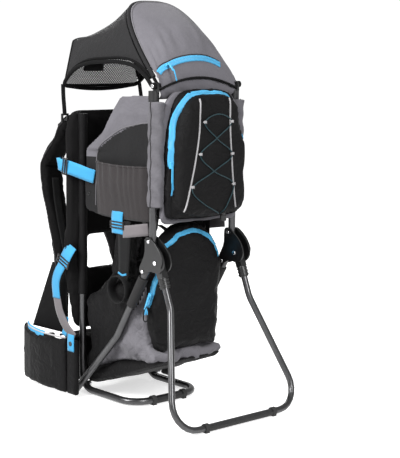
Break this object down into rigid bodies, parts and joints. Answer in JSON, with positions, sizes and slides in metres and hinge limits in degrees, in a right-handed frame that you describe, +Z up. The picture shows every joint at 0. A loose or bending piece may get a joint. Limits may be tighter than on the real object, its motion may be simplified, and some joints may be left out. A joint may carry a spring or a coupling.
{
  "type": "baby carrier backpack",
  "caption": "Framed child carrier backpack on a fold-out kickstand, with sun canopy, child seat and harness, zipped pockets, shoulder straps and hip belt.",
  "frame": {"origin": "centre of the bounding box on the plane that the carrier stands on", "axes": "+Z up; +Y towards the wearer's front, so the pockets face -Y; +X to the wearer's right"},
  "size_m": [0.41, 0.7424, 1.0095],
  "materials": {
    "graphite_tube": "satin graphite paint",
    "black_plastic": "fine moulded texture",
    "bright_steel": "bright zinc plate",
    "black_rubber": "matt",
    "black_fabric": "woven ripstop polyester",
    "grey_fabric": "woven polyester",
    "dark_grey_fabric": "gathered stretch weave",
    "charcoal_fabric": "tight woven polyester",
    "mesh_fabric": "open mesh",
    "padded_black": "padded air mesh",
    "blue_webbing": "woven webbing",
    "grey_webbing": "woven webbing",
    "black_webbing": "woven webbing",
    "blue_zip": "coated coil zip",
    "red_button": "gloss",
    "bungee": "braided elastic cord"
  },
  "bodies": {
    "front_frame": {"front_frame_tube": "graphite_tube", "floor_loop_foot": "black_rubber", "pivot_bolts": "bright_steel", "pivot_washers": "bright_steel", "back_panel": "padded_black", "lumbar_pad": "padded_black", "shoulder_strap_left": "padded_black", "shoulder_strap_right": "padded_black", "shoulder_webbing": "grey_webbing", "hip_belt_sides": "black_fabric"},
    "rear_frame": {"rear_tube_left": "graphite_tube", "rear_tube_right": "graphite_tube", "rear_crossbar": "graphite_tube", "lower_tube_plugs": "black_plastic", "foam_sleeves": "black_rubber", "upright_sleeves": "grey_fabric", "hinge_cover_outer_left": "black_plastic", "hinge_cover_inner_left": "black_plastic", "hinge_cover_outer_right": "black_plastic", "hinge_cover_inner_right": "black_plastic", "hinge_rivets": "bright_steel", "kickstand_pins": "bright_steel", "canopy_clips": "black_plastic", "canopy_pins": "bright_steel", "rear_panel": "grey_fabric", "upper_pocket": "black_fabric", "bungee_cord": "bungee", "cord_lock": "black_plastic", "lower_pocket": "black_fabric", "storage_body": "grey_fabric", "storage_base": "black_fabric", "seat": "padded_black", "side_panel_left": "grey_fabric", "side_panel_right": "grey_fabric", "side_pocket_left": "dark_grey_fabric", "side_pocket_right": "dark_grey_fabric", "child_harness": "black_webbing", "harness_buckle": "black_plastic", "side_straps": "blue_webbing"},
    "kickstand": {"kickstand_tube": "graphite_tube", "kickstand_sockets": "black_plastic", "kickstand_foot": "black_rubber"},
    "canopy": {"canopy_main_hoop": "black_plastic", "canopy_rear_panel": "grey_fabric", "canopy_roof": "charcoal_fabric"},
    "visor": {"canopy_front_hoop": "black_webbing", "canopy_front_mesh": "mesh_fabric", "canopy_straps": "black_webbing", "canopy_hooks": "black_plastic"},
    "canopy_zip": {"canopy_zip_slider": "blue_zip"},
    "upper_zip": {"upper_zip_slider": "blue_zip"},
    "lower_zip": {"lower_zip_slider": "blue_zip"},
    "cord_button": {"cord_lock_button": "black_plastic"},
    "buckle_button": {"harness_button": "red_button"},
    "stirrup_left": {"stirrup_left": "black_webbing"},
    "stirrup_right": {"stirrup_right": "black_webbing"},
    "belt_left": {"hip_belt_wing_left": "black_fabric", "belt_buckle_socket": "black_plastic"},
    "belt_right": {"hip_belt_wing_right": "black_fabric", "belt_buckle_plug": "black_plastic"}
  },
  "joints": [
    {"name": "frame_fold", "type": "hinge", "parent": "front_frame", "child": "rear_frame", "pos_m": [0, 0.1035, 0.02372], "axis": [-1, 0, 0], "range_deg": [0, 12], "deforming": ["seat", "side_panel_left", "side_panel_right", "side_pocket_left", "side_pocket_right", "storage_body", "storage_base", "side_straps", "child_harness"]},
    {"name": "kickstand_fold", "type": "hinge", "parent": "rear_frame", "child": "kickstand", "pos_m": [0, -0.20878, 0.3877], "axis": [1, 0, 0], "range_deg": [0, 34]},
    {"name": "canopy_fold", "type": "hinge", "parent": "rear_frame", "child": "canopy", "pos_m": [0, -0.19278, 0.808], "axis": [1, 0, 0], "range_deg": [0, 50]},
    {"name": "visor_fold", "type": "hinge", "parent": "canopy", "child": "visor", "pos_m": [0, -0.19278, 0.808], "axis": [1, 0, 0], "range_deg": [0, 28], "deforming": ["canopy_roof"]},
    {"name": "canopy_zip_run", "type": "hinge", "parent": "canopy", "child": "canopy_zip", "pos_m": [0, -0.13777, 0.66334], "axis": [0, 0.9711, 0.2385], "range_deg": [0, 48.8]},
    {"name": "upper_zip_run", "type": "slide", "parent": "rear_frame", "child": "upper_zip", "axis": [0, 0, 1], "range_m": [0, 0.09]},
    {"name": "lower_zip_run", "type": "slide", "parent": "rear_frame", "child": "lower_zip", "axis": [0, -0.3746, 0.9272], "range_m": [0, 0.05]},
    {"name": "cord_button_press", "type": "slide", "parent": "rear_frame", "child": "cord_button", "axis": [0, 0, -1], "range_m": [0, 0.004], "stiffness_N_per_m": 300},
    {"name": "buckle_button_press", "type": "slide", "parent": "rear_frame", "child": "buckle_button", "axis": [0, -1, 0], "range_m": [0, 0.003], "stiffness_N_per_m": 400},
    {"name": "stirrup_left_swing", "type": "hinge", "parent": "rear_frame", "child": "stirrup_left", "pos_m": [0, -0.06278, 0.474], "axis": [1, 0, 0], "range_deg": [0, 30]},
    {"name": "stirrup_right_swing", "type": "hinge", "parent": "rear_frame", "child": "stirrup_right", "pos_m": [0, -0.06278, 0.474], "axis": [1, 0, 0], "range_deg": [0, 30]},
    {"name": "belt_left_swing", "type": "hinge", "parent": "front_frame", "child": "belt_left", "pos_m": [-0.161, 0.11522, 0.078], "axis": [0, 0, 1], "range_deg": [0, 50]},
    {"name": "belt_right_swing", "type": "hinge", "parent": "front_frame", "child": "belt_right", "pos_m": [0.161, 0.11522, 0.078], "axis": [0, 0, -1], "range_deg": [0, 50]}
  ]
}
